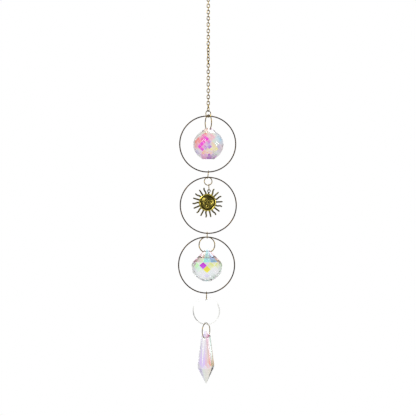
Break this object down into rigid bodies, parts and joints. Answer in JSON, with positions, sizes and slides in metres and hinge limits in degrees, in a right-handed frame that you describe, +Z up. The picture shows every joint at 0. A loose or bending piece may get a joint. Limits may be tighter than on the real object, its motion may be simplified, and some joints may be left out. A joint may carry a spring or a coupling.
{
  "type": "crystal suncatcher",
  "caption": "Hanging crystal suncatcher: a fine chain over three wire hoops that frame a faceted ball, a cast sun and a round drop, ending in a clear disc and an icicle prism.",
  "frame": {"origin": "where a hook touches the inside of the hanging ring, at its top", "axes": "+Z up along the hanging strand, front towards -Y, +X to the viewer's right, metres"},
  "size_m": [0.0412, 0.0222, 0.2835],
  "materials": {
    "gold_plated_brass": "bright pale-gold plating on round brass wire, polished, with dark reflections along its edges",
    "hoop_brass": "gold-plated hard wire, polished, reflecting its surroundings darkly",
    "cast_sun_brass": "cast brass with bright rubbed high places and darker recesses",
    "iridescent_crystal": "polished lead-free crystal glass, flat facets with a thin rainbow coating",
    "clear_crystal": "polished clear crystal glass with bevelled edges"
  },
  "bodies": {
    "root": {"hanging_ring": "gold_plated_brass", "chain_link_01": "gold_plated_brass", "chain_link_02": "gold_plated_brass", "chain_link_03": "gold_plated_brass", "chain_link_04": "gold_plated_brass", "chain_link_05": "gold_plated_brass", "chain_link_06": "gold_plated_brass", "chain_link_07": "gold_plated_brass", "chain_link_08": "gold_plated_brass", "chain_link_09": "gold_plated_brass", "chain_link_10": "gold_plated_brass", "chain_link_11": "gold_plated_brass", "chain_link_12": "gold_plated_brass", "chain_link_13": "gold_plated_brass", "chain_link_14": "gold_plated_brass", "chain_link_15": "gold_plated_brass", "chain_link_16": "gold_plated_brass", "chain_link_17": "gold_plated_brass", "chain_link_18": "gold_plated_brass", "chain_link_19": "gold_plated_brass", "chain_link_20": "gold_plated_brass", "chain_link_21": "gold_plated_brass", "chain_link_22": "gold_plated_brass", "chain_link_23": "gold_plated_brass", "chain_link_24": "gold_plated_brass", "chain_link_25": "gold_plated_brass", "chain_link_26": "gold_plated_brass", "chain_link_27": "gold_plated_brass", "chain_link_28": "gold_plated_brass", "chain_link_29": "gold_plated_brass", "chain_link_30": "gold_plated_brass", "chain_link_31": "gold_plated_brass", "chain_link_32": "gold_plated_brass", "chain_link_33": "gold_plated_brass", "chain_link_34": "gold_plated_brass", "chain_link_35": "gold_plated_brass", "chain_link_36": "gold_plated_brass", "chain_link_37": "gold_plated_brass", "chain_ring": "gold_plated_brass", "hoop_1": "hoop_brass", "hoop_2": "hoop_brass", "hoop_3": "hoop_brass", "ball_ring": "gold_plated_brass", "connector_1": "gold_plated_brass", "sun_ring": "gold_plated_brass", "sun_link_ring": "gold_plated_brass", "connector_2": "gold_plated_brass", "drop_ring": "gold_plated_brass", "connector_3": "gold_plated_brass", "prism_ring": "gold_plated_brass", "sun_charm": "cast_sun_brass", "crystal_ball": "iridescent_crystal", "crystal_round_drop": "iridescent_crystal", "crystal_prism": "iridescent_crystal", "crystal_disc": "clear_crystal"}
  },
  "joints": []
}
